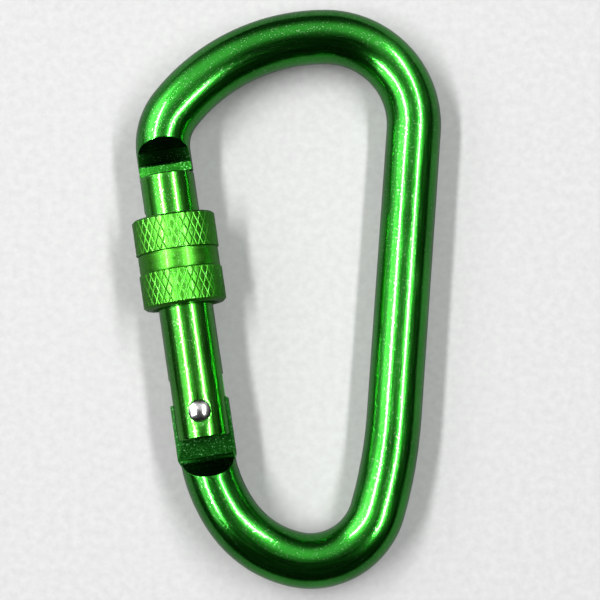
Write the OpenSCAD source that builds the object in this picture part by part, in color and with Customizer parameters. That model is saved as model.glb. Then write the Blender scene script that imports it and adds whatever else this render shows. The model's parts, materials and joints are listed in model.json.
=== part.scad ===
// Screw-lock carabiner: a bent round rod with a sprung, pivoting gate.
// The rod lies in the XY plane, with its mid-plane at Z = 0 and the nose end toward +Y.
// The hinge rivet is the local reference point for every part. +Y of the gate frame runs
// from the rivet up the gate to the nose, +X points into the ring.

/* [Rod] */
// Diameter of the round rod that the body is bent from
rod_d = 7.5; // [6.5:0.1:8]
// Lean of the gate side away from the long axis, in degrees
gate_lean = 8.5; // [6:0.5:10]
// Distance from the hinge rivet to the start of the nose bend
nose_reach = 36.1; // [35.5:0.1:37]
// Distance from the hinge rivet down to the end of the hinge bend
hinge_reach = 5.5; // [5:0.1:6]

/* [Bends] */
// Radius of the nose bend, on the rod's centre line
nose_bend_r = 8; // [7:0.1:9]
// Angle that the nose bend turns through
nose_turn = 46; // [44:0.5:48]
// Radius of the tight corner between crown and spine
corner_bend_r = 12.3; // [11:0.1:13]
// Angle that the corner turns through
corner_turn = 94.2; // [93:0.1:95]
// Radius of the slight bow at the lower end of the spine
bow_bend_r = 62; // [50:1:80]
// Angle that the bow turns through
bow_turn = 12; // [10:0.5:13]
// Radius of the tight heel bend at the narrow end
heel_bend_r = 9.5; // [9:0.1:11]
// Angle that the heel turns through
heel_turn = 86; // [84:0.5:88]
// Radius of the foot bend that follows the heel
foot_bend_r = 14.2; // [13:0.1:16]
// Angle that the foot turns through
foot_turn = 43.3; // [42:0.1:45]
// Radius of the last gentle bend up to the hinge
hinge_bend_r = 20.8; // [18:0.1:24]

/* [Tongues] */
// Thickness of the flats at both rod ends
tongue_t = 2; // [1.6:0.1:2.4]
// Distance from the rivet to the foot of the nose shoulder
nose_base = 34.25; // [34:0.05:34.5]
// Distance from the rivet to the tip of the nose tongue
nose_tip = 28; // [27.8:0.1:28.6]
// Radius of the cutter that leaves the nose shoulder
nose_fillet_r = 3.5; // [3.3:0.1:3.7]
// Distance from the rivet down to the foot of the hinge shoulder
hinge_base = 6.2; // [6:0.1:6.6]
// Radius of the cutter that leaves the hinge shoulder
hinge_fillet_r = 2.3; // [2.1:0.1:2.5]
// Width that the hinge tongue is pressed out to
hinge_tongue_w = 8; // [7.6:0.1:8.2]
// Height of the hinge tongue's corners above the rivet
hinge_corner = 1.3; // [1:0.1:1.5]

/* [Gate] */
// Diameter of the gate
gate_d = 7.5; // [7:0.1:7.8]
// Distance from the rivet to the gate's top end
gate_top = 32.9; // [32.7:0.1:33.1]
// Distance from the rivet down to the gate's lower end
gate_tail = 3.65; // [3.4:0.05:3.9]
// Width of the slots that take the tongues
slot_w = 2.2; // [2.1:0.05:2.6]
// Height of the lower slot's floor above the rivet
hinge_slot_floor = 4.7; // [4.6:0.1:5]
// Height of the upper slot's floor above the rivet
nose_slot_floor = 27.4; // [27.2:0.1:27.6]
// Wall left on the inner side of the upper slot, which stops the gate on the nose
stop_wall = 1.2; // [1:0.1:1.5]
// Diameter of the spring bore
spring_bore_d = 3.2; // [3:0.1:3.4]
// Height of the spring bore's blind end above the rivet
spring_bore_end = 19; // [18:0.5:20]

/* [Rivet] */
// Diameter of the rivet's shank
rivet_d = 2.4; // [2:0.1:2.6]
// Diameter of the rivet's domed heads
rivet_head_d = 3; // [2.8:0.1:3.2]
// Radial play of the hinge tongue on the rivet
rivet_play = 0.04; // [0.02:0.01:0.1]

/* [Sleeve] */
// Diameter over the knurled bands
sleeve_d = 11.4; // [11:0.1:11.8]
// Diameter of the plain middle band
band_d = 11.05; // [10.8:0.05:11.2]
// Lower end of the sleeve above the rivet, when unlocked
sleeve_foot = 14.6; // [14.4:0.1:14.8]
// Length of the sleeve
sleeve_l = 12.4; // [12:0.1:12.6]
// Length of each knurled band
knurl_l = 4.9; // [4.5:0.1:5]
// Screw travel from unlocked to locked
sleeve_travel = 8.125; // [7.5:0.125:8.125]
// Diameter of the sleeve's clearance bore
sleeve_bore_d = 8.6; // [8.5:0.1:8.8]
// Diameter of the gate's screw thread, taken at its pitch line
thread_d = 8; // [7.9:0.05:8.1]

/* [Spring and plunger] */
// Wire diameter of the gate spring
wire_d = 0.4; // [0.3:0.05:0.5]
// Mean diameter of the gate spring's coils
coil_d = 2.4; // [2.2:0.1:2.5]
// Number of coils
coils = 10; // [8:1:12]
// Diameter of the plunger's head
plunger_d = 3; // [2.8:0.1:3]
// Lift of the plunger when the gate is fully open
plunger_lift = 1.2; // [1:0.1:1.4]
// How far the gate opens, in degrees
gate_swing = 35; // [25:1:35]

/* [Hidden] */
$fn = 96;

eps = 0.01;
rod_r = rod_d / 2;
seam_lap = 0.1;
seam_step = 0.01;
gate_r = gate_d / 2;
sleeve_r = sleeve_d / 2;
anodised_green = [0.13, 0.62, 0.12];
bright_steel = [0.78, 0.78, 0.76];
spring_steel = [0.55, 0.56, 0.58];

// --- Centre line of the rod -----------------------------------------------------------
// Headings run clockwise from the nose, round the crown and down the spine to the hinge.
nose_heading = 90 + gate_lean;
crown_heading = nose_heading - nose_turn;
corner_heading = 0;
spine_heading = corner_heading - corner_turn;
heel_heading = spine_heading - bow_turn;
foot_heading = heel_heading - heel_turn;
hinge_heading = foot_heading - foot_turn;
crown_turn = crown_heading - corner_heading;
hinge_turn = hinge_heading - (nose_heading - 360);

// Travel along a bend of radius r that turns clockwise by t from heading h
function bend_move(h, r, t) = r * [sin(h) - sin(h - t), cos(h - t) - cos(h)];
// Travel along a straight run of length l
function run_move(h, l) = l * [cos(h), sin(h)];
// Centre of a bend that starts at p
function bend_centre(p, h, r) = p + r * [sin(h), -cos(h)];

// The crown's radius and the spine's length are the two values that close the ring.
gate_axis = run_move(nose_heading, 1);
nose_move = bend_move(nose_heading, nose_bend_r, nose_turn);
corner_move = bend_move(corner_heading, corner_bend_r, corner_turn);
bow_move = bend_move(spine_heading, bow_bend_r, bow_turn);
heel_move = bend_move(heel_heading, heel_bend_r, heel_turn);
foot_move = bend_move(foot_heading, foot_bend_r, foot_turn);
hinge_move = bend_move(hinge_heading, hinge_bend_r, hinge_turn);
known_moves = nose_move + corner_move + bow_move + heel_move + foot_move + hinge_move;
missing_move = -(nose_reach + hinge_reach) * gate_axis - known_moves;
crown_unit = bend_move(crown_heading, 1, crown_turn);
spine_unit = run_move(spine_heading, 1);
crown_bend_r = cross(missing_move, spine_unit) / cross(crown_unit, spine_unit);
spine_l = cross(crown_unit, missing_move) / cross(crown_unit, spine_unit);

nose_start = nose_reach * gate_axis;
crown_start = nose_start + nose_move;
corner_start = crown_start + crown_bend_r * crown_unit;
spine_start = corner_start + corner_move;
bow_start = spine_start + spine_l * spine_unit;
heel_start = bow_start + bow_move;
foot_start = heel_start + heel_move;
hinge_start = foot_start + foot_move;

// --- Sleeve and thread stations along the gate, measured from the rivet ------------------
sleeve_top = sleeve_foot + sleeve_l;
band_l = sleeve_l - 2 * knurl_l;
foot_chamfer = 0.4;
top_chamfer = 0.25;
band_groove = 0.16;
collar_d = 8.3;
collar_start = sleeve_foot + 0.9;
thread_start = collar_start + 0.8;
thread_end = sleeve_top - 0.1;
thread_ring_start = thread_start + 0.2;
thread_ring_l = 2.5;
thread_ring_d = 9.4;
thread_play = 0.05;

// --- Outer box of the whole carabiner, used to put the origin at its centre --------------
box_left = (sleeve_top - top_chamfer) * gate_axis[0] - sleeve_r * cos(gate_lean);
box_right = bend_centre(corner_start, corner_heading, corner_bend_r)[0] + corner_bend_r + rod_r;
box_top = corner_start[1] + rod_r;
box_bottom = bend_centre(heel_start, heel_heading, heel_bend_r)[1] - heel_bend_r - rod_r;
rivet_at = -[box_left + box_right, box_top + box_bottom] / 2;

// --- Plunger and its cam ---------------------------------------------------------------
plunger_tip_r = plunger_d / 2;
// Distance from the rivet to the centre of the plunger's round tip, gate closed
tip_rest = 3.95;
lift_per_degree = plunger_lift / gate_swing;
lift_per_radian = lift_per_degree * 180 / PI;
cam_play = 0.03;
plunger_head_l = 2.2;
plunger_stem_l = 2.5;
plunger_stem_d = 1.6;
spring_start = tip_rest + plunger_head_l;

// Distance of the tip's centre from the rivet with the gate opened by a degrees
function tip_centre(a) = tip_rest + lift_per_degree * a;
// Point of the cam edge that touches the tip at that angle: x across, y along the gate
function cam_point(a) =
    let (d = tip_centre(a), k = lift_per_radian, n = sqrt(d * d + k * k), g = (plunger_tip_r + cam_play) / n)
    [d * sin(a) - g * (d * sin(a) - k * cos(a)), d * cos(a) - g * (d * cos(a) + k * sin(a))];

// --- Shared shapes ---------------------------------------------------------------------

// Moves its children into the ring, with the rivet's axis at its place
module at_rivet() {
    translate([rivet_at[0], rivet_at[1], 0])
        children();
}

// The gate frame: +Y along the gate, +X into the ring
module in_gate_frame() {
    at_rivet() rotate([0, 0, gate_lean]) children();
}

// Turns a solid made about Z into one about the gate's axis, starting y from the rivet
module along_gate(y = 0) {
    translate([0, y, 0]) rotate([-90, 0, 0]) children();
}

// One bend of the rod. Every other piece of the rod is a hair thinner and runs a little
// way into both neighbours, so that each seam is one clean circle.
module rod_bend(p, h, r, t, inset = false) {
    c = bend_centre(p, h, r);
    lap = inset ? seam_lap / r * 180 / PI : 0;
    translate([c[0], c[1], 0])
        rotate([0, 0, h + 90 - t - lap])
            rotate_extrude(angle = t + 2 * lap, $fn = 120)
                translate([r, 0]) rod_section(inset);
}

// One straight run of the rod, set a hair thinner like every other bend
module rod_run(p, h, l) {
    start = p - seam_lap * run_move(h, 1);
    translate([start[0], start[1], 0])
        rotate([0, 0, h])
            rotate([0, 90, 0])
                linear_extrude(height = l + 2 * seam_lap) rod_section(true);
}

module rod_section(inset) {
    circle(d = inset ? rod_d - 2 * seam_step : rod_d, $fn = 40);
}

// Side profile of what a cutter takes off above a tongue: x runs along the gate toward
// the shoulder, from the shoulder's foot at 0, and y is the height above the mid-plane
module shoulder_profile(r) {
    foot_angle = 6;
    reach = 12;
    centre = [-r * sin(foot_angle), tongue_t / 2 + r * cos(foot_angle)];
    translate([-reach, tongue_t / 2]) square([reach, rod_d]);
    intersection() {
        translate(centre) circle(r, $fn = 96);
        translate([-eps, 0]) square([r, centre[1]]);
    }
    translate([-reach, centre[1] - eps]) square([reach + r + centre[0], rod_d]);
}

// Solid that the cutter removes above and below a tongue, across the whole rod
module shoulder_cut(r) {
    for (side = [0, 1])
        mirror([0, 0, side])
            rotate([90, 0, 90])
                linear_extrude(height = 3 * rod_d, center = true) shoulder_profile(r);
}

// --- Body ------------------------------------------------------------------------------

module bent_rod() {
    rod_bend(nose_start, nose_heading, nose_bend_r, nose_turn);
    rod_bend(crown_start, crown_heading, crown_bend_r, crown_turn, inset = true);
    rod_bend(corner_start, corner_heading, corner_bend_r, corner_turn);
    rod_run(spine_start, spine_heading, spine_l);
    rod_bend(bow_start, spine_heading, bow_bend_r, bow_turn);
    rod_bend(heel_start, heel_heading, heel_bend_r, heel_turn, inset = true);
    rod_bend(foot_start, foot_heading, foot_bend_r, foot_turn);
    rod_bend(hinge_start, hinge_heading, hinge_bend_r, hinge_turn, inset = true);
}

// Straight end of the rod that carries the nose tongue, with the inner edge set back
// so that the gate's stop wall can close against it
module nose_end() {
    stop_gap = 0.06;
    difference() {
        along_gate(nose_tip)
            linear_extrude(height = nose_reach - nose_tip + seam_lap) rod_section(true);
        translate([gate_r - stop_wall - stop_gap, nose_tip - 1, -rod_d])
            cube([rod_d, gate_top - nose_tip + 1.2, 2 * rod_d]);
    }
}

// Flat tongue inside the gate's lower end. Its upper edge is the plunger's cam.
module hinge_tongue() {
    w = hinge_tongue_w / 2;
    cam_steps = 12;
    cam = [for (i = [0 : cam_steps]) cam_point(gate_swing * i / cam_steps)];
    root = hinge_base + 2.4;
    outline = concat(
        [[-w, -hinge_base], [-w, hinge_corner], [-1.2, hinge_corner + 0.25]],
        cam,
        [[w, hinge_corner], [w, -hinge_base], [rod_r - 0.5, -root], [0.8 - rod_r, -root]]
    );
    difference() {
        linear_extrude(height = tongue_t, center = true) polygon(outline);
        cylinder(d = rivet_d + 2 * rivet_play, h = 3 * tongue_t, center = true);
    }
}

module body_frame() {
    color(anodised_green) {
        difference() {
            union() {
                at_rivet() bent_rod();
                in_gate_frame() nose_end();
            }
            in_gate_frame() translate([0, -hinge_base, 0]) mirror([0, 1, 0]) shoulder_cut(hinge_fillet_r);
            in_gate_frame() translate([0, nose_base, 0]) shoulder_cut(nose_fillet_r);
        }
        in_gate_frame() hinge_tongue();
    }
}

// --- Gate ------------------------------------------------------------------------------

// Half outline of the gate about its axis, from the tail up
module gate_profile() {
    edge = 0.25;
    run_out = (collar_d - gate_d) / 2;
    thread_rise = (thread_d - gate_d) / 2;
    polygon([
        [0, -gate_tail],
        [gate_r - edge, -gate_tail],
        [gate_r, edge - gate_tail],
        [gate_r, collar_start - run_out],
        [collar_d / 2, collar_start],
        [collar_d / 2, thread_start],
        [thread_d / 2, thread_start],
        [thread_d / 2, thread_end - thread_rise],
        [gate_r, thread_end],
        [gate_r, gate_top - edge],
        [gate_r - edge, gate_top],
        [0, gate_top]
    ]);
}

module gate() {
    seat_depth = 0.45;
    color(anodised_green)
        in_gate_frame() difference() {
            along_gate() rotate_extrude() gate_profile();
            // lower slot, open right through
            translate([-gate_d, -gate_tail - 1, -slot_w / 2])
                cube([2 * gate_d, gate_tail + 1 + hinge_slot_floor, slot_w]);
            // upper slot, closed on the inner side
            translate([-gate_d, nose_slot_floor, -slot_w / 2])
                cube([gate_d + gate_r - stop_wall, gate_top, slot_w]);
            // spring bore, drilled from the gate's lower end
            along_gate(-gate_tail - 1)
                cylinder(d = spring_bore_d, h = gate_tail + 1 + spring_bore_end);
            // rivet hole and the seats of its heads
            cylinder(d = rivet_d, h = 3 * gate_d, center = true);
            for (side = [-1, 1])
                translate([0, 0, side * (gate_r - seat_depth + gate_r)])
                    cylinder(d = rivet_head_d, h = 2 * gate_r, center = true);
        }
}

// --- Rivet -----------------------------------------------------------------------------

// Half outline of the rivet about its axis, upper half
module rivet_profile() {
    seat = gate_r - 0.45;
    rim = 0.22;
    dome = 0.5;
    head_r = rivet_head_d / 2;
    dome_r = (head_r * head_r + dome * dome) / (2 * dome);
    square([rivet_d / 2, seat + eps]);
    translate([0, seat]) square([head_r, rim]);
    intersection() {
        translate([0, seat + rim + dome - dome_r]) circle(dome_r);
        translate([0, seat + rim - eps]) square([head_r, dome + 1]);
    }
}

module hinge_rivet() {
    color(bright_steel)
        at_rivet() rotate_extrude() {
            rivet_profile();
            mirror([0, 1]) rivet_profile();
        }
}

// --- Spring and plunger ----------------------------------------------------------------

module gate_spring() {
    sides = 6;
    steps = 16;
    length = spring_bore_end - spring_start - wire_d - 0.1;
    count = coils * steps;
    rise = atan(length / (coils * PI * coil_d));
    // Ring i of the wire, as points round its centre on the helix
    function wire_ring(i) =
        let (a = 360 * i / steps, z = length * i / count)
        [for (j = [0 : sides - 1])
            let (b = 360 * j / sides, u = wire_d / 2 * cos(b), v = wire_d / 2 * sin(b))
            [(coil_d / 2 + u) * cos(a) + v * sin(rise) * sin(a),
             (coil_d / 2 + u) * sin(a) - v * sin(rise) * cos(a),
             z + v * cos(rise)]];
    points = [for (i = [0 : count]) each wire_ring(i)];
    walls = [for (i = [0 : count - 1], j = [0 : sides - 1])
        let (k = (j + 1) % sides)
        [i * sides + j, (i + 1) * sides + j, (i + 1) * sides + k, i * sides + k]];
    foot = [for (j = [0 : sides - 1]) j];
    head = [for (j = [sides - 1 : -1 : 0]) count * sides + j];
    color(spring_steel)
        in_gate_frame() along_gate(spring_start + wire_d / 2 + 0.05)
            polyhedron(points, concat(walls, [foot], [head]));
}

// Half outline of the plunger about its axis, from the centre of its round tip up
module plunger_profile() {
    intersection() {
        circle(plunger_tip_r);
        translate([0, -plunger_d]) square([plunger_d, plunger_d]);
    }
    translate([0, -eps]) square([plunger_tip_r, plunger_head_l + eps]);
    translate([0, plunger_head_l - eps]) square([plunger_stem_d / 2, plunger_stem_l]);
}

module spring_plunger() {
    color(bright_steel)
        in_gate_frame() along_gate(tip_rest) rotate_extrude() plunger_profile();
}

// --- Sleeve ----------------------------------------------------------------------------

// Half outline of the sleeve's outside and bore, from its lower end up
module sleeve_profile() {
    bore_r = sleeve_bore_d / 2;
    mouth = 0.3;
    band_r = band_d / 2;
    groove_r = band_r - band_groove;
    step = (sleeve_r - band_r) / 2;
    polygon([
        [bore_r + mouth, 0],
        [sleeve_r - foot_chamfer, 0],
        [sleeve_r, foot_chamfer],
        [sleeve_r, knurl_l - step],
        [band_r, knurl_l],
        [band_r, knurl_l + band_l - band_groove],
        [groove_r, knurl_l + band_l - band_groove],
        [groove_r, knurl_l + band_l],
        [sleeve_r, knurl_l + band_l],
        [sleeve_r, sleeve_l - top_chamfer],
        [sleeve_r - top_chamfer, sleeve_l],
        [bore_r + mouth, sleeve_l],
        [bore_r, sleeve_l - mouth],
        [bore_r, mouth]
    ]);
}

module locking_sleeve() {
    color(anodised_green)
        in_gate_frame() along_gate(sleeve_foot) rotate_extrude() difference() {
            sleeve_profile();
            translate([0, thread_ring_start - sleeve_foot])
                square([thread_ring_d / 2 + thread_play, thread_ring_l]);
        }
}

// The screw thread in the sleeve's lower end, as a ring at the pitch line
module sleeve_thread() {
    end_play = 0.02;
    inner_r = thread_d / 2 + thread_play;
    color(anodised_green)
        in_gate_frame() along_gate(thread_ring_start + end_play) rotate_extrude()
            translate([inner_r, 0]) square([thread_ring_d / 2 - inner_r, thread_ring_l - 2 * end_play]);
}

body_frame();
gate();
hinge_rivet();
gate_spring();
spring_plunger();
locking_sleeve();
sleeve_thread();
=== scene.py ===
"""Looks of the screw-lock carabiner: bent rod, gate, rivet, spring, plunger and knurled sleeve.

Lengths are in millimetres until a mesh is placed. The gate frame has its origin at the hinge
rivet, Y up the gate and X into the ring, and the rod frame is the same without the lean.
"""

import json
import math

import bmesh
import bpy
import numpy as np
from mathutils import Matrix, Vector


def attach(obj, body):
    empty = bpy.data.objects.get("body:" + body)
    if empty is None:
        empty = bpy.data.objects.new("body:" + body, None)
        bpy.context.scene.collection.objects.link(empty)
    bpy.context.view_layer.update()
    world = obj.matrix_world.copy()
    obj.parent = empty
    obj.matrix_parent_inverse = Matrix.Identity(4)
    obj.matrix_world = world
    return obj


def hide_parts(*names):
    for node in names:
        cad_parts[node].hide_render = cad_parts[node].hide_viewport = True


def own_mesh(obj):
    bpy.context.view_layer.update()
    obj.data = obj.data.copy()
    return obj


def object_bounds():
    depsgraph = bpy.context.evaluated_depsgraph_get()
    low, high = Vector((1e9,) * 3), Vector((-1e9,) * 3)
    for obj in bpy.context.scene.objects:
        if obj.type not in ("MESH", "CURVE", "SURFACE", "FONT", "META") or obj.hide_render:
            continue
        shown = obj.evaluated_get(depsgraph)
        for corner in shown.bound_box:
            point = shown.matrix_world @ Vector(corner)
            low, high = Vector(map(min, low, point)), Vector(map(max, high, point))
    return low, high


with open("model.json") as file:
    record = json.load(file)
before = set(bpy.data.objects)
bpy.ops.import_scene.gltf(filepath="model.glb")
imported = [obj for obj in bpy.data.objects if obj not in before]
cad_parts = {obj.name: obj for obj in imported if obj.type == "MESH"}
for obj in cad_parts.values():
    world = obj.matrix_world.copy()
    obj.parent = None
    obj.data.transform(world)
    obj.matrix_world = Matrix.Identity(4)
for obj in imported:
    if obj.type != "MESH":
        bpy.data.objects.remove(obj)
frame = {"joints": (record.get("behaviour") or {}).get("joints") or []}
cad_low, cad_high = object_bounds()
joints = {j["name"]: j for j in frame["joints"]}

MM = 0.001
TURN = 2 * math.pi

# --- Frames -------------------------------------------------------------------------------
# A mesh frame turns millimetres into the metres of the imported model.
rivet_at = Vector(joints["gate_swing"]["pos_m"])
gate_up = Vector(joints["sleeve_travel"]["axis"]).normalized()
plane_normal = Vector((0, 0, 1))
gate_in = gate_up.cross(plane_normal)
gate_lean = math.degrees(math.atan2(-gate_up.x, gate_up.y))
GATE_FRAME = Matrix.Translation(rivet_at) @ Matrix(
    [[gate_in[i], gate_up[i], plane_normal[i]] for i in range(3)]
).to_4x4() @ Matrix.Scale(MM, 4)
ROD_FRAME = Matrix.Translation(rivet_at) @ Matrix.Scale(MM, 4)

# --- Rod ----------------------------------------------------------------------------------
rod_r = 3.75
nose_reach = 36.1
hinge_reach = 5.5
nose_bend_r, nose_turn = 8, 46
crown_turn = 90 + gate_lean - nose_turn
corner_bend_r, corner_turn = 12.3, 94.2
bow_bend_r, bow_turn = 62, 12
heel_bend_r, heel_turn = 9.5, 86
foot_bend_r, foot_turn = 14.2, 43.3
hinge_bend_r = 20.8
hinge_turn = 360 - nose_turn - crown_turn - corner_turn - bow_turn - heel_turn - foot_turn
# Radius and turn of each bend from the nose on. The crown's radius and the straight spine,
# which has none, are worked out so that the ring closes.
bends = [
    (nose_bend_r, nose_turn),
    ("crown", crown_turn),
    (corner_bend_r, corner_turn),
    (None, 0),
    (bow_bend_r, bow_turn),
    (heel_bend_r, heel_turn),
    (foot_bend_r, foot_turn),
    (hinge_bend_r, hinge_turn),
]

# --- Tongues ------------------------------------------------------------------------------
# Above each tongue a cutter leaves a polished ramp, which rises at shoulder_slope degrees, and
# then a hollow shoulder, which starts at its foot angle and is so long along the gate. Ramp and
# shoulder are painted near black: painted shade and painted dark reflection.
tongue_t = 2.0
nose_base, nose_tip = 34.25, 28.0
nose_ramp, nose_shoulder_l, nose_shoulder_foot = 1.9, 1.5, 45
hinge_base = 6.2
hinge_ramp, hinge_shoulder_l, hinge_shoulder_foot = 0.5, 2.15, 38
shoulder_slope = 16
stop_wall, stop_gap = 1.2, 0.06
hinge_tongue_w, hinge_corner, hinge_root_l = 8.0, 1.3, 2.4
tip_rest, plunger_tip_r, plunger_lift = 3.95, 1.5, 1.2
swing = math.radians(joints["gate_swing"]["range_deg"][1])
cam_play, rivet_play = 0.03, 0.04

# --- Gate ---------------------------------------------------------------------------------
gate_r = 3.75
gate_top, gate_tail = 32.9, 3.65
slot_w, hinge_slot_floor, nose_slot_floor = 2.2, 4.7, 27.4
spring_bore_r, spring_bore_end = 1.6, 19.0
thread_pitch = 1.25
thread_steps = 14  # mesh rows in a pitch
collar_r = 4.15
thread_minor_r, thread_major_r = 3.8, 4.2
rivet_r, rivet_head_r, rivet_seat = 1.2, 1.5, 3.3
spring_start, spring_end = 6.15, 19.0
wire_r, coil_r, coils = 0.2, 1.2, 10

# --- Sleeve -------------------------------------------------------------------------------
sleeve_foot, sleeve_l = 14.6, 12.4
sleeve_top = sleeve_foot + sleeve_l
sleeve_r, band_r, bore_r = 5.7, 5.525, 4.3
# Each knurl has so many grooves of either hand round the sleeve and so many pitches along it.
# A pitch is knurl_steps of the mesh, and a groove fades out groove_steps from its middle.
knurl_l = 4.9
knurl_teeth, knurl_rows = 34, 2.25
knurl_steps, groove_steps = 16, 2
knurl_depth = 0.055
collar_start = sleeve_foot + 0.9
thread_start, thread_end = collar_start + 0.8, sleeve_top - 0.1
nut_start, nut_l, nut_crest_r = thread_start + 0.2, 2.5, 3.87


# --- Mesh helpers -------------------------------------------------------------------------
def new_object(name, points, faces, matrix, uv=None):
    """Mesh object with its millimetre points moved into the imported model's frame."""
    mesh = bpy.data.meshes.new(name)
    mesh.from_pydata([tuple(p) for p in points], [], [tuple(f) for f in faces])
    if uv is not None:
        layer = mesh.uv_layers.new(name="along")
        index = np.zeros(len(mesh.loops), int)
        mesh.loops.foreach_get("vertex_index", index)
        layer.data.foreach_set("uv", np.asarray(uv, np.float32)[index].ravel())
    mesh.transform(matrix)
    mesh.update()
    obj = bpy.data.objects.new(name, mesh)
    bpy.context.scene.collection.objects.link(obj)
    return obj


def grid_faces(rows, columns, wrap_rows=False):
    """Quads between rows of points, each row closed round."""
    last = rows if wrap_rows else rows - 1
    faces = []
    for i in range(last):
        a, b = i * columns, (i + 1) % rows * columns
        for j in range(columns):
            k = (j + 1) % columns
            faces.append((a + j, a + k, b + k, b + j))
    return faces


def lathe(name, stations, radii, columns, matrix, closed=False):
    """Surface about the frame's Y axis. radii has one row for each station, and one value or
    one for each column in that row. An open surface gets flat ends."""
    rows = len(stations)
    turn = np.arange(columns) * TURN / columns
    r = np.array([np.broadcast_to(row, columns) for row in radii], float)
    s = np.repeat(np.array(stations, float)[:, None], columns, 1)
    points = np.stack([r * np.sin(turn), s, r * np.cos(turn)], -1).reshape(-1, 3)
    uv = np.stack([s, np.broadcast_to(turn * gate_r, s.shape)], -1).reshape(-1, 2)
    faces = grid_faces(rows, columns, closed)
    if not closed:
        faces.append(tuple(range(columns - 1, -1, -1)))
        faces.append(tuple(range((rows - 1) * columns, rows * columns)))
    return new_object(name, points, faces, matrix, uv * MM)


def tube(name, path, radius, sides, matrix):
    """Round tube along a path of (point, tangent, up) rows, with flat ends."""
    turn = np.arange(sides) * TURN / sides
    points, uv, run, last = [], [], 0.0, None
    for p, tangent, up in path:
        side = np.cross(tangent, up)
        ring = p + radius * (np.outer(np.cos(turn), side) + np.outer(np.sin(turn), up))
        run += 0.0 if last is None else float(np.linalg.norm(p - last))
        last = p
        points.append(ring)
        uv.append(np.stack([np.full(sides, run), turn * radius], -1))
    rows = len(path)
    faces = grid_faces(rows, sides)
    faces.append(tuple(range(sides - 1, -1, -1)))
    faces.append(tuple(range((rows - 1) * sides, rows * sides)))
    return new_object(name, np.concatenate(points), faces, matrix, np.concatenate(uv) * MM)


def prism(name, outline, low, high, axes, matrix):
    """Outline extruded from low to high along the third of the named axes."""
    order = ["XYZ".index(a) for a in axes]
    count = len(outline)
    points = np.zeros((2 * count, 3))
    for k, level in enumerate((low, high)):
        for i, (a, b) in enumerate(outline):
            points[k * count + i, order] = (a, b, level)
    faces = [(i, (i + 1) % count, count + (i + 1) % count, count + i) for i in range(count)]
    faces += [tuple(range(count - 1, -1, -1)), tuple(range(count, 2 * count))]
    obj = new_object(name, points, faces, matrix, points[:, order[:2]] * MM)
    make_outward(obj)
    return obj


def circle_outline(radius, count=64):
    return [(radius * math.cos(a), radius * math.sin(a)) for a in np.arange(count) * TURN / count]


def box_outline(x0, x1, y0, y1):
    return [(x0, y0), (x1, y0), (x1, y1), (x0, y1)]


def make_outward(obj):
    """Turns the faces of a closed mesh to point out of it."""
    work = bmesh.new()
    work.from_mesh(obj.data)
    bmesh.ops.recalc_face_normals(work, faces=work.faces)
    work.to_mesh(obj.data)
    work.free()


def apply_modifiers(obj):
    """Bakes the object's modifiers into its mesh."""
    graph = bpy.context.evaluated_depsgraph_get()
    mesh = bpy.data.meshes.new_from_object(obj.evaluated_get(graph))
    obj.modifiers.clear()
    obj.data = mesh


def combine(obj, others, operation):
    """Boolean of obj with each of the others, which are then removed."""
    for other in others:
        modifier = obj.modifiers.new("combine", "BOOLEAN")
        modifier.operation = operation
        modifier.solver = "EXACT"
        modifier.material_mode = "TRANSFER"
        modifier.object = other
        apply_modifiers(obj)
        bpy.data.objects.remove(other)


def finish_edges(obj, width, angle=38, segments=2):
    """Breaks the sharp edges, and smooths the rest."""
    if width:
        bevel = obj.modifiers.new("edge break", "BEVEL")
        bevel.width = width * MM
        bevel.segments = segments
        bevel.limit_method = "ANGLE"
        bevel.angle_limit = math.radians(angle)
        bevel.use_clamp_overlap = False
        apply_modifiers(obj)
    obj.data.shade_smooth()
    obj.data.set_sharp_from_angle(angle=math.radians(angle))


# --- Shader helpers -----------------------------------------------------------------------
DRAWN, TURNED = (0.06, 1), (1, 0.03)  # marks along the bar and round it
MIX_A, MIX_B, MIX_RESULT = 6, 7, 2  # colour sockets of a Mix node
DUST = (0.5, 0.95, 0.45, 1)
# Painted highlight colour for the glints on the blasted faces.
PAINTED_GLINT = (0.25, 0.75, 0.25)


def new_material(name):
    material = bpy.data.materials.new(name)
    material.use_nodes = True
    shader = material.node_tree.nodes["Principled BSDF"]
    return material, material.node_tree, shader


def add_node(tree, kind, inputs=None, **settings):
    node = tree.nodes.new(kind)
    for key, value in settings.items():
        setattr(node, key, value)
    for key, value in (inputs or {}).items():
        if isinstance(value, bpy.types.NodeSocket):
            tree.links.new(value, node.inputs[key])
        else:
            node.inputs[key].default_value = value
    return node


def ramp(tree, factor, stops):
    """Colour ramp with (position, colour) stops."""
    node = add_node(tree, "ShaderNodeValToRGB", {"Fac": factor})
    elements = node.color_ramp.elements
    while len(elements) < len(stops):
        elements.new(0.5)
    for element, (position, colour) in zip(elements, stops):
        element.position = position
        element.color = (*colour, 1) if len(colour) == 3 else colour
    return node.outputs["Color"]


def grey(value):
    return (value, value, value)


def noise(tree, vector, scale, detail=3.0, roughness=0.55):
    node = add_node(
        tree,
        "ShaderNodeTexNoise",
        {"Vector": vector, "Scale": scale, "Detail": detail, "Roughness": roughness},
    )
    return node.outputs["Fac"]


def along_vector(tree, squeeze):
    """UV coordinates in metres, along the bar and round it, each times its own squeeze."""
    uv = add_node(tree, "ShaderNodeUVMap", uv_map="along")
    mapping = add_node(
        tree,
        "ShaderNodeMapping",
        {"Vector": uv.outputs["UV"], "Scale": (*squeeze, 1)},
    )
    return mapping.outputs["Vector"]


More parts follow.
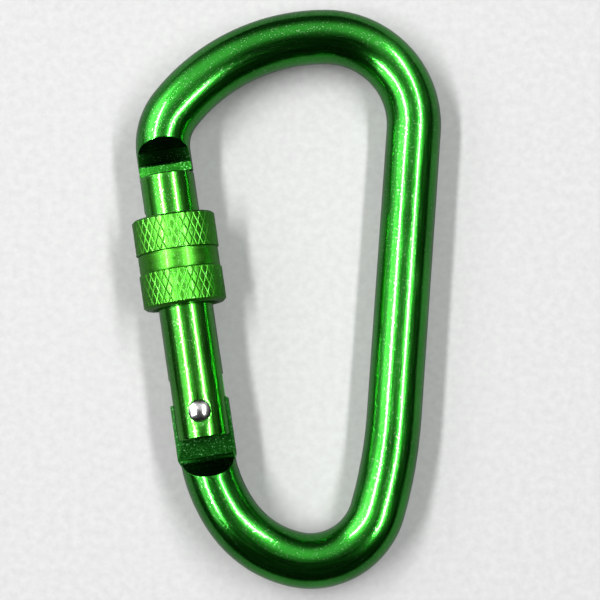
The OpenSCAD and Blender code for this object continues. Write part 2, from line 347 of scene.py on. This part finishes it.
def anodised(name, deep, bright, roughness, grain, spread=0.6, film=0.6, dusting=0.8, marks=DRAWN):
    """Dyed anodised aluminium: a coloured metal under a clear film, with drawing or turning
    marks that spread each highlight across them, fine grain, and a few specks of dust."""
    material, tree, shader = new_material(name)
    place = add_node(tree, "ShaderNodeTexCoord").outputs["Object"]
    tone = noise(tree, place, 90, 2)
    streaks = noise(tree, along_vector(tree, marks), 3200, 2)
    both = add_node(
        tree, "ShaderNodeMath", {0: streaks, 1: 0.3, 2: tone}, operation="MULTIPLY_ADD"
    )
    colour = ramp(tree, both.outputs["Value"], [(0.45, deep), (0.85, bright)])
    specks = noise(tree, place, 5200, 1)
    dust = ramp(tree, specks, [(0.665, grey(0)), (0.7, grey(dusting))])
    mixed = add_node(tree, "ShaderNodeMix", data_type="RGBA")
    tree.links.new(dust, mixed.inputs["Factor"])
    tree.links.new(colour, mixed.inputs[MIX_A])
    mixed.inputs[MIX_B].default_value = DUST
    tree.links.new(mixed.outputs[MIX_RESULT], shader.inputs["Base Color"])
    rough = add_node(
        tree,
        "ShaderNodeMapRange",
        {"Value": streaks, "From Min": 0.25, "From Max": 0.75, "To Min": roughness * 0.8,
         "To Max": roughness * 1.25},
    )
    tree.links.new(rough.outputs["Result"], shader.inputs["Roughness"])
    fine = noise(tree, place, 2600, 3)
    worn = add_node(tree, "ShaderNodeMath", {0: fine, 1: streaks}, operation="ADD")
    speck_height = 3.0
    height = add_node(
        tree,
        "ShaderNodeMath",
        {0: dust, 1: speck_height, 2: worn.outputs["Value"]},
        operation="MULTIPLY_ADD",
    )
    bump = add_node(
        tree,
        "ShaderNodeBump",
        {"Height": height.outputs["Value"], "Strength": grain, "Distance": 0.00005},
    )
    tree.links.new(bump.outputs["Normal"], shader.inputs["Normal"])
    brushed = add_node(tree, "ShaderNodeTangent", direction_type="UV_MAP", uv_map="along")
    tree.links.new(brushed.outputs["Tangent"], shader.inputs["Tangent"])
    shader.inputs["Metallic"].default_value = 1.0
    shader.inputs["Anisotropic"].default_value = spread
    shader.inputs["Anisotropic Rotation"].default_value = 0.25
    shader.inputs["Coat Weight"].default_value = film
    shader.inputs["Coat Roughness"].default_value = 0.1
    shader.inputs["Coat IOR"].default_value = 1.4
    return material


def blasted(name, deep, bright, glints=0.69, relief=0.6):
    """Milled and bead-blasted anodised face: rough and speckled. Its base colour turns bright
    where the grain rises above glints, a painted highlight beside the real glints of its bumps.
    relief is the strength of its bumps."""
    material, tree, shader = new_material(name)
    place = add_node(tree, "ShaderNodeTexCoord").outputs["Object"]
    grain = noise(tree, place, 3800, 4, 0.7)
    # The last stop paints glints: a painted highlight where the grain is high.
    colour = ramp(tree, grain, [(0.35, deep), (0.6, bright), (glints, PAINTED_GLINT)])
    tree.links.new(colour, shader.inputs["Base Color"])
    bump = add_node(
        tree, "ShaderNodeBump", {"Height": grain, "Strength": relief, "Distance": 0.00008}
    )
    tree.links.new(bump.outputs["Normal"], shader.inputs["Normal"])
    shader.inputs["Metallic"].default_value = 1.0
    shader.inputs["Roughness"].default_value = 0.42
    shader.inputs["Coat Weight"].default_value = 0.04
    shader.inputs["Coat Roughness"].default_value = 0.2
    return material


def steel(name, tint, roughness, scale):
    """Bright steel with fine turning marks and worn patches."""
    material, tree, shader = new_material(name)
    place = add_node(tree, "ShaderNodeTexCoord").outputs["Object"]
    marks = noise(tree, place, scale, 3)
    colour = ramp(tree, marks, [(0.3, grey(tint * 0.72)), (0.65, grey(tint))])
    tree.links.new(colour, shader.inputs["Base Color"])
    rough = add_node(
        tree,
        "ShaderNodeMapRange",
        {"Value": marks, "To Min": roughness * 0.6, "To Max": roughness * 1.5},
    )
    tree.links.new(rough.outputs["Result"], shader.inputs["Roughness"])
    bump = add_node(
        tree, "ShaderNodeBump", {"Height": marks, "Strength": 0.25, "Distance": 0.00004}
    )
    tree.links.new(bump.outputs["Normal"], shader.inputs["Normal"])
    shader.inputs["Metallic"].default_value = 1.0
    return material


rod_green = anodised("anodised_rod", (0.016, 0.27, 0.014), (0.036, 0.47, 0.03), 0.17, 0.05)
gate_green = anodised("anodised_gate", (0.035, 0.31, 0.016), (0.066, 0.52, 0.032), 0.17, 0.05)
sleeve_green = anodised(
    "anodised_sleeve",
    (0.034, 0.215, 0.012),
    (0.074, 0.37, 0.028),
    0.37,
    0.12,
    spread=0.0,
    film=0.15,
    dusting=0.25,
    marks=TURNED,
)
# Painted shade: ramps and shoulders get a near-black green base colour that stands in for their
# shade and dark reflections.
shoulder_painted_shade = anodised(
    "milled_shoulders_painted_shade",
    (0.0006, 0.01, 0.0006),
    (0.002, 0.028, 0.002),
    0.3,
    0.05,
    film=0.0,
    dusting=0.1,
)
blasted_green = blasted("blasted_flats", (0.003, 0.05, 0.003), (0.016, 0.15, 0.01))
# Painted shade: the hinge flats are a darker copy of blasted_flats, standing in for the shade
# between the gate end and the hinge shoulder.
hinge_painted_shade = blasted(
    "blasted_hinge_painted_shade", (0.0008, 0.014, 0.0008), (0.004, 0.045, 0.004), glints=0.79, relief=0.3
)
rivet_steel = steel("rivet_steel", 0.8, 0.18, 2500)
spring_steel = steel("spring_wire", 0.62, 0.3, 4000)
plunger_steel = steel("plunger_steel", 0.7, 0.25, 3000)


# --- Rod sweep ----------------------------------------------------------------------------
def heading(degrees):
    return np.array([math.cos(math.radians(degrees)), math.sin(math.radians(degrees)), 0])


def bend_move(start, radius, turn):
    """Travel along a bend that turns clockwise from a heading."""
    a, b = math.radians(start), math.radians(start - turn)
    return radius * np.array([math.sin(a) - math.sin(b), math.cos(b) - math.cos(a), 0])


def cross_z(a, b):
    return a[0] * b[1] - a[1] * b[0]


def closing_lengths():
    """Radius of the crown and length of the spine that close the ring."""
    start = 90 + gate_lean
    known = (nose_reach + hinge_reach) * heading(start)
    crown_unit = spine_unit = None
    for radius, turn in bends:
        if radius is None:
            spine_unit = heading(start)
            continue
        if radius == "crown":
            crown_unit = bend_move(start, 1, turn)
        else:
            known = known + bend_move(start, radius, turn)
        start -= turn
    whole = cross_z(crown_unit, spine_unit)
    return -cross_z(known, spine_unit) / whole, -cross_z(crown_unit, known) / whole


crown_bend_r, spine_l = closing_lengths()


def rod_path():
    """Rows of (point, tangent, up) along the rod's centre line, from nose tip to hinge end."""
    up = np.array([0.0, 0.0, 1.0])
    angle = 90 + gate_lean
    step = 2.0
    path = []

    def run(start, length, pieces):
        for i in range(pieces):
            path.append((start + heading(angle) * length * i / pieces, heading(angle), up))
        return start + heading(angle) * length

    nose_pieces, spine_pieces = 12, 20
    here = run(nose_tip * heading(angle), nose_reach - nose_tip, nose_pieces)
    for radius, turn in bends:
        if radius is None:
            here = run(here, spine_l, spine_pieces)
            continue
        radius = crown_bend_r if radius == "crown" else radius
        pieces = max(6, math.ceil(turn / step))
        for i in range(pieces):
            part = turn * i / pieces
            path.append((here + bend_move(angle, radius, part), heading(angle - part), up))
        here = here + bend_move(angle, radius, turn)
        angle -= turn
    path.append((here, heading(angle), up))
    return path


def shoulder_cutter(name, base, sign, ramp_l, length, foot, tongue_finish):
    """Prisms that mill the rod down to a flat tongue. Its finish ends at base. Then come a
    polished ramp and a shoulder that leaves it at foot degrees and curves up for its length to
    the rod's surface."""
    ramp_top = tongue_t / 2 + ramp_l * math.tan(math.radians(shoulder_slope))
    rise = rod_r - ramp_top
    start = math.radians(foot)
    half_turn = math.atan2(rise, length) - start
    radius = math.hypot(rise, length) / (2 * math.sin(half_turn))
    centre = (ramp_l - radius * math.sin(start), ramp_top + radius * math.cos(start))
    past_surface, arc_points = 2.05, 24
    turn = np.linspace(start, start + past_surface * half_turn, arc_points)
    arc = [(centre[0] + radius * math.sin(a), centre[1] - radius * math.cos(a)) for a in turn]
    low, reach = tongue_t / 2, 12
    profile = [(-reach, low), (0, low), *arc, (arc[-1][0], 2 * rod_r), (-reach, 2 * rod_r)]
    made = []
    for side in (1, -1):
        outline = [(base + sign * x, side * z) for x, z in profile]
        half_l = 3 * rod_r
        cutter = prism(name, outline, -half_l, half_l, "YZX", GATE_FRAME)
        cutter.data.materials.append(tongue_finish)
        # The ramp and shoulder faces take the near-black painted-shade material.
        cutter.data.materials.append(shoulder_painted_shade)
        for i in range(1, len(arc) + 2):
            cutter.data.polygons[i].material_index = 1
        made.append(cutter)
    return made


def cam_point(angle):
    """Point of the hinge tongue's cam edge under the plunger with the gate open by angle."""
    lift = plunger_lift / swing
    reach = tip_rest + lift * angle
    across = (plunger_tip_r + cam_play) / math.hypot(reach, lift)
    c, s = math.cos(angle), math.sin(angle)
    return (
        reach * s - across * (reach * s - lift * c),
        reach * c - across * (reach * c + lift * s),
    )


def hinge_plate():
    """Flat tongue at the rod's hinge end, with the rivet hole and the cam edge."""
    w, root = hinge_tongue_w / 2, hinge_base + hinge_root_l
    cam_steps, hole_sides = 16, 48
    outline = [(-w, -hinge_base), (-w, hinge_corner), (-1.2, hinge_corner + 0.25)]
    outline += [cam_point(swing * i / cam_steps) for i in range(cam_steps + 1)]
    outline += [(w, hinge_corner), (w, -hinge_base), (rod_r - 0.5, -root), (0.8 - rod_r, -root)]
    plate = prism("plate", outline, -tongue_t / 2, tongue_t / 2, "XYZ", GATE_FRAME)
    # The plate takes the darker hinge copy of the blasted finish, which is painted shade.
    plate.data.materials.append(hinge_painted_shade)
    past_plate = 3
    circle = circle_outline(rivet_r + rivet_play, hole_sides)
    hole = prism("hole", circle, -past_plate, past_plate, "XYZ", GATE_FRAME)
    hole.data.materials.append(blasted_green)
    combine(plate, [hole], "DIFFERENCE")
    return plate


def make_body():
    body = tube("rod_body", rod_path(), rod_r, 96, ROD_FRAME)
    make_outward(body)
    body.data.materials.append(rod_green)
    stop_x, past_rod = gate_r - stop_wall - stop_gap, 8
    corners = box_outline(stop_x, past_rod, nose_tip - 1, gate_top + 0.2)
    stop = prism("stop", corners, -past_rod, past_rod, "XYZ", GATE_FRAME)
    stop.data.materials.append(blasted_green)
    cutters = shoulder_cutter(
        "nose", nose_base, 1, nose_ramp, nose_shoulder_l, nose_shoulder_foot, blasted_green
    )
    cutters += shoulder_cutter(
        "hinge", -hinge_base, -1, hinge_ramp, hinge_shoulder_l, hinge_shoulder_foot, hinge_painted_shade
    )
    combine(body, [*cutters, stop], "DIFFERENCE")
    combine(body, [hinge_plate()], "UNION")
    finish_edges(body, 0.06)
    return body


# --- Gate ---------------------------------------------------------------------------------
def thread_wave(station, turn):
    """Height from 0 to 1 of a right-hand thread at a station and angle round the axis."""
    root, flank = 0.375, 0.42
    phase = (station / thread_pitch - turn / TURN) % 1.0
    ridge = 1 - np.abs(2 * phase - 1)
    share = np.clip((ridge - root) / flank, 0, 1)
    return share * share * (3 - 2 * share)


def gate_rows(columns):
    """Stations and radii of the gate's outside, from the tail up."""
    turn = np.arange(columns) * TURN / columns
    edge = 0.25
    rows = [(-gate_tail, gate_r - edge)]
    rows += [(-gate_tail + edge * (1 - math.cos(a)), gate_r - edge * (1 - math.sin(a)))
             for a in np.linspace(0.2, math.pi / 2, 5)]
    rows += [(s, gate_r) for s in np.linspace(-2.5, collar_start - 0.6, 14)]
    rise = collar_r - gate_r
    rows += [(collar_start - rise * (1 - t), gate_r + rise * t) for t in (0, 0.5, 1)]
    rows += [(thread_start - 0.05, collar_r), (thread_start, collar_r - 0.05)]
    rows += [(thread_start + 0.12, thread_minor_r)]
    length = thread_end - thread_start - 0.3
    count = round(length / (thread_pitch / thread_steps))
    for i in range(1, count):
        s = thread_start + 0.15 + length * i / count
        fade = min(1.0, (s - thread_start) / 0.5, (thread_end - s) / 0.7)
        height = (thread_major_r - thread_minor_r) * thread_wave(s, turn) * fade
        rows.append((s, thread_minor_r + height))
    rows += [(thread_end, gate_r)]
    rows += [(s, gate_r) for s in np.linspace(thread_end + 0.4, gate_top - 0.6, 6)]
    rows += [(gate_top - edge * (1 - math.cos(a)), gate_r - edge * (1 - math.sin(a)))
             for a in np.linspace(math.pi / 2, 0.2, 5)]
    rows += [(gate_top, gate_r - edge)]
    return [r[0] for r in rows], [r[1] for r in rows]


def make_gate():
    columns = 128
    stations, radii = gate_rows(columns)
    gate = lathe("gate_body", stations, radii, columns, GATE_FRAME)
    make_outward(gate)
    gate.data.materials.append(gate_green)
    half, below, above = slot_w / 2, -gate_tail - 1, gate_top + 3.1
    past_gate, seat_play = 6, 0.02
    hinge_slot = box_outline(-past_gate, past_gate, below, hinge_slot_floor)
    nose_slot = box_outline(-past_gate, gate_r - stop_wall, nose_slot_floor, above)
    spring_bore = circle_outline(spring_bore_r)
    rivet_hole, head_seat = circle_outline(rivet_r), circle_outline(rivet_head_r + seat_play)
    cutters = [
        prism("hinge_slot", hinge_slot, -half, half, "XYZ", GATE_FRAME),
        prism("nose_slot", nose_slot, -half, half, "XYZ", GATE_FRAME),
        prism("spring_bore", spring_bore, below, spring_bore_end, "XZY", GATE_FRAME),
        prism("rivet_hole", rivet_hole, -past_gate, past_gate, "XYZ", GATE_FRAME),
        prism("upper_seat", head_seat, rivet_seat, past_gate, "XYZ", GATE_FRAME),
        prism("lower_seat", head_seat, -past_gate, -rivet_seat, "XYZ", GATE_FRAME),
    ]
    for cutter in cutters:
        cutter.data.materials.append(blasted_green)
    combine(gate, cutters, "DIFFERENCE")
    finish_edges(gate, 0.05)
    return gate


# --- Rivet, spring and plunger --------------------------------------------------------------
def make_rivet():
    rim, dome = 0.22, 0.5
    dome_r = (rivet_head_r**2 + dome**2) / (2 * dome)
    rows = [(0.0, rivet_r), (rivet_seat - 0.02, rivet_r), (rivet_seat, rivet_r + 0.02)]
    rows += [(rivet_seat, rivet_head_r - 0.05), (rivet_seat + 0.04, rivet_head_r)]
    base = rivet_seat + rim
    for r in np.linspace(rivet_head_r, 0.04, 18):
        z = base + dome - dome_r + math.sqrt(dome_r**2 - r**2)
        rows.append((z, r))
    half = [(z, r) for z, r in rows if z > 0]
    whole = [(-z, r) for z, r in reversed(half)] + half
    to_z = GATE_FRAME @ Matrix.Rotation(math.pi / 2, 4, "X")
    rivet = lathe("hinge_rivet_steel", [z for z, _ in whole], [r for _, r in whole], 72, to_z)
    make_outward(rivet)
    rivet.data.materials.append(rivet_steel)
    finish_edges(rivet, 0)
    return rivet


def make_spring():
    steps_per_coil, end_gap = 30, 0.05
    length = spring_end - spring_start - 2 * (wire_r + end_gap)
    count = coils * steps_per_coil
    rise = length / (coils * TURN)
    path = []
    for i in range(count + 1):
        a = TURN * coils * i / count
        s = spring_start + wire_r + end_gap + length * i / count
        p = np.array([coil_r * math.sin(a), s, coil_r * math.cos(a)])
        tangent = np.array([coil_r * math.cos(a), rise, -coil_r * math.sin(a)])
        tangent /= np.linalg.norm(tangent)
        path.append((p, tangent, np.array([math.sin(a), 0, math.cos(a)])))
    spring = tube("gate_coil_spring", path, wire_r, 12, GATE_FRAME)
    make_outward(spring)
    spring.data.materials.append(spring_steel)
    finish_edges(spring, 0)
    return spring


def make_plunger():
    head_l, stem_l, stem_r, edge = 2.2, 2.5, 0.8, 0.15
    rows = [
        (tip_rest - plunger_tip_r * math.cos(a), plunger_tip_r * math.sin(a))
        for a in np.linspace(0.06, math.pi / 2, 16)
    ]
    top = tip_rest + head_l
    rows += [(top - edge, plunger_tip_r), (top, plunger_tip_r - edge), (top, stem_r + 0.08)]
    rows += [(top + 0.08, stem_r), (top + stem_l - edge, stem_r), (top + stem_l, stem_r - edge)]
    plunger = lathe("plunger_pin", [s for s, _ in rows], [r for _, r in rows], 48, GATE_FRAME)
    make_outward(plunger)
    plunger.data.materials.append(plunger_steel)
    finish_edges(plunger, 0)
    return plunger


# --- Sleeve -------------------------------------------------------------------------------
def groove_share(across, along):
    """Depth of the knurl at a grid node, from 0 on a diamond to 1 along a groove. The two
    families of grooves run along the diagonals of the grid."""
    near = np.stack([(across + lean * along) % knurl_steps for lean in (1, -1)])
    steps = np.minimum(near, knurl_steps - near)
    return np.clip(1 - steps / groove_steps, 0, 1).max(axis=0)


def sleeve_rows(columns):
    """Closed outline of the sleeve as stations and radii: outside up, then the bore down.
    Also gives the knurl step of each row, or None off the knurls."""
    turn = np.arange(columns) * TURN / columns
    foot_chamfer, top_chamfer, groove, mouth, edge = 0.4, 0.25, 0.16, 0.3, 0.04
    high_start = sleeve_top - knurl_l
    steps = round(knurl_rows * knurl_steps)
    rows = []

    def add(*pairs):
        rows.extend((s, r, None) for s, r in pairs)

    def add_knurl(start, first, last):
        for i in range(steps + 1):
            s = start + knurl_l * i / steps
            if first <= s <= last:
                share = groove_share(np.arange(columns), i)
                rows.append((s, sleeve_r - knurl_depth * share, i))

    add((sleeve_foot, bore_r + mouth + edge), (sleeve_foot, sleeve_r - foot_chamfer - edge))
    add((sleeve_foot + edge / 2, sleeve_r - foot_chamfer))
    add((sleeve_foot + foot_chamfer - edge, sleeve_r - edge))
    add_knurl(sleeve_foot, sleeve_foot + foot_chamfer, sleeve_foot + knurl_l - 0.06)
    band_start = sleeve_foot + knurl_l
    add((band_start + 0.02, band_r - 0.03), (band_start + 0.1, band_r))
    add(*[(s, band_r) for s in np.linspace(band_start + 0.4, high_start - 0.3, 6)])
    add((high_start - groove - 0.02, band_r), (high_start - groove, band_r - 0.03))
    add((high_start - groove + 0.015, band_r - groove), (high_start + 0.005, band_r - groove))
    add_knurl(high_start, high_start + 0.06, sleeve_top - top_chamfer)
    add((sleeve_top - 0.03, sleeve_r - top_chamfer + 0.02))
    add((sleeve_top, sleeve_r - top_chamfer - 0.03), (sleeve_top, bore_r + mouth + edge))
    add((sleeve_top - edge, bore_r + mouth), (sleeve_top - mouth, bore_r))
    add(*[(s, bore_r) for s in np.linspace(sleeve_top - 1, nut_start + nut_l + 0.3, 5)])
    count = round(nut_l / (thread_pitch / thread_steps))
    for i in range(count + 1):
        s = nut_start + nut_l * (1 - i / count)
        fade = max(0, min(1, (s - nut_start) / 0.35, (nut_start + nut_l - s) / 0.35))
        ridge = thread_wave(s + thread_pitch / 2, turn)
        add((s, bore_r - (bore_r - nut_crest_r) * ridge * fade))
    add((nut_start - 0.3, bore_r), (sleeve_foot + mouth, bore_r))
    add((sleeve_foot + edge, bore_r + mouth))
    return rows


def fold_knurl(obj, rows, columns):
    """Splits each knurl quad along the diagonal that its nearer groove follows."""
    work = bmesh.new()
    work.from_mesh(obj.data)
    work.verts.ensure_lookup_table()
    work.faces.ensure_lookup_table()
    quads = list(work.faces)
    for i, (row, following) in enumerate(zip(rows, rows[1:])):
        if row[2] is None or following[2] is None:
            continue
        for j in range(columns):
            near = [(j + 0.5 + lean * (row[2] + 0.5)) % knurl_steps for lean in (1, -1)]
            off = [min(d, knurl_steps - d) for d in near]
            corners = quads[i * columns + j].verts
            ends = (1, 3) if off[0] < off[1] else (0, 2)
            bmesh.utils.face_split(quads[i * columns + j], corners[ends[0]], corners[ends[1]])
    work.to_mesh(obj.data)
    work.free()


def make_sleeve():
    columns = knurl_teeth * knurl_steps
    rows = sleeve_rows(columns)
    stations, radii = [row[0] for row in rows], [row[1] for row in rows]
    sleeve = lathe("knurled_sleeve", stations, radii, columns, GATE_FRAME, closed=True)
    fold_knurl(sleeve, rows, columns)
    make_outward(sleeve)
    sleeve.data.materials.append(sleeve_green)
    finish_edges(sleeve, 0, angle=25)
    return sleeve


# --- Pieces on their bodies -----------------------------------------------------------------
body = make_body()
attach(body, "body")
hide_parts("body_frame")

gate = make_gate()
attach(gate, "gate")
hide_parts("gate")

rivet = make_rivet()
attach(rivet, "gate")
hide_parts("hinge_rivet")

spring = make_spring()
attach(spring, "gate")
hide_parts("gate_spring")
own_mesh(spring)

plunger = make_plunger()
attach(plunger, "plunger")
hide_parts("spring_plunger")

sleeve = make_sleeve()
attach(sleeve, "sleeve")
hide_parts("locking_sleeve", "sleeve_thread")


# --- Floor, light and camera ----------------------------------------------------------------
def make_floor():
    """Pale sheet that the sleeve and the spine both rest on. It is darker to every ray but the
    camera's, as if black cards stood round the object."""
    bounce_share = 0.3
    sleeve_mid = GATE_FRAME @ Vector((0, sleeve_foot + sleeve_l / 2, 0))
    spine_x = cad_high.x - rod_r * MM
    tilt = math.asin((sleeve_r - rod_r) * MM / (spine_x - sleeve_mid.x))
    normal = Vector((-math.sin(tilt), 0, math.cos(tilt)))
    touch = sleeve_mid - normal * sleeve_r * MM
    size = 3.0
    mesh = bpy.data.meshes.new("floor")
    corners = [(-size, -size, 0), (size, -size, 0), (size, size, 0), (-size, size, 0)]
    mesh.from_pydata(corners, [], [(0, 1, 2, 3)])
    floor = bpy.data.objects.new("floor", mesh)
    bpy.context.scene.collection.objects.link(floor)
    floor.matrix_world = Matrix.Translation(touch) @ Matrix.Rotation(-tilt, 4, "Y")
    material, tree, shader = new_material("pale_paper")
    place = add_node(tree, "ShaderNodeTexCoord").outputs["Object"]
    fibres = noise(tree, place, 900, 4, 0.6)
    seen = add_node(tree, "ShaderNodeLightPath").outputs["Is Camera Ray"]
    shade = add_node(
        tree, "ShaderNodeMapRange", {"Value": seen, "To Min": bounce_share, "To Max": 1.0}
    )
    tone = add_node(
        tree,
        "ShaderNodeMapRange",
        {"Value": fibres, "From Min": 0.3, "From Max": 0.7, "To Min": 0.33, "To Max": 0.37},
    )
    both = add_node(
        tree,
        "ShaderNodeMath",
        {0: shade.outputs["Result"], 1: tone.outputs["Result"]},
        operation="MULTIPLY",
    )
    tree.links.new(both.outputs["Value"], shader.inputs["Base Color"])
    shader.inputs["Roughness"].default_value = 0.85
    floor.data.materials.append(material)


def strip_light(name, across, radiance, width, length, along):
    """Soft box parallel to Y with its middle at along, across degrees from the zenith."""
    distance = 0.6
    light = bpy.data.lights.new(name, "AREA")
    light.shape = "RECTANGLE"
    light.size, light.size_y = width, length
    light.energy = radiance * math.pi * width * length
    lamp = bpy.data.objects.new(name, light)
    bpy.context.scene.collection.objects.link(lamp)
    angle = math.radians(across)
    lamp.location = (distance * math.sin(angle), along, distance * math.cos(angle))
    lamp.rotation_euler = (0, angle, 0)


def make_world():
    """Dim room: a pale wall beyond the wide end, a bright left side, dark right and front."""
    world = bpy.data.worlds.new("studio")
    bpy.context.scene.world = world
    world.use_nodes = True
    tree = world.node_tree
    background = tree.nodes["Background"]
    direction = add_node(tree, "ShaderNodeTexCoord").outputs["Generated"]
    axes = add_node(tree, "ShaderNodeSeparateXYZ", {"Vector": direction}).outputs

    def fade(axis, low, high, from_value, to_value):
        node = add_node(
            tree,
            "ShaderNodeMapRange",
            {"Value": axes[axis], "From Min": low, "From Max": high, "To Min": from_value,
             "To Max": to_value},
            interpolation_type="SMOOTHSTEP",
        )
        return node.outputs["Result"]

    room = fade("Y", 0.05, 0.4, 0.13, 0.75)
    wall_top = fade("Y", 0.62, 0.9, 1.0, 0.06)
    horizon = fade("Z", 0.0, 0.35, 0.15, 1.0)
    front = fade("Y", -0.15, 0.05, 0.06, 1.0)
    right = fade("X", 0.5, 0.7, 1.0, 0.08)
    left = fade("X", -0.85, -0.55, 2.6, 1.0)
    for shade in (wall_top, horizon, front, right, left):
        product = add_node(tree, "ShaderNodeMath", {0: room, 1: shade}, operation="MULTIPLY")
        room = product.outputs["Value"]
    seen = add_node(tree, "ShaderNodeLightPath").outputs["Is Camera Ray"]
    shown = add_node(
        tree, "ShaderNodeMix", {"Factor": seen, "A": room, "B": 0.9}, data_type="FLOAT"
    )
    tree.links.new(shown.outputs["Result"], background.inputs["Strength"])
    background.inputs["Color"].default_value = (1, 1, 1, 1)


def make_camera():
    """The camera stands a little toward the narrow end and looks almost straight down."""
    elevation, distance = math.radians(85), 0.25
    aim = Vector((0.0018, -0.0006, 0))
    back = Vector((0, -math.cos(elevation), math.sin(elevation)))
    camera_data = bpy.data.cameras.new("camera")
    camera_data.sensor_width = 36
    camera_data.lens = 109.3
    camera = bpy.data.objects.new("camera", camera_data)
    bpy.context.scene.collection.objects.link(camera)
    camera.location = aim + back * distance
    camera.rotation_euler = (-back).to_track_quat("-Z", "Y").to_euler()
    bpy.context.scene.camera = camera


make_floor()
strip_light("left_strip", across=-33, radiance=60, width=0.048, length=0.55, along=0.05)
strip_light("right_strip", across=27, radiance=56, width=0.042, length=0.6, along=0.1)
strip_light("left_fill", across=-53, radiance=1.7, width=0.2, length=0.9, along=0.1)
make_world()
make_camera()
bpy.context.scene.view_settings.view_transform = "Standard"
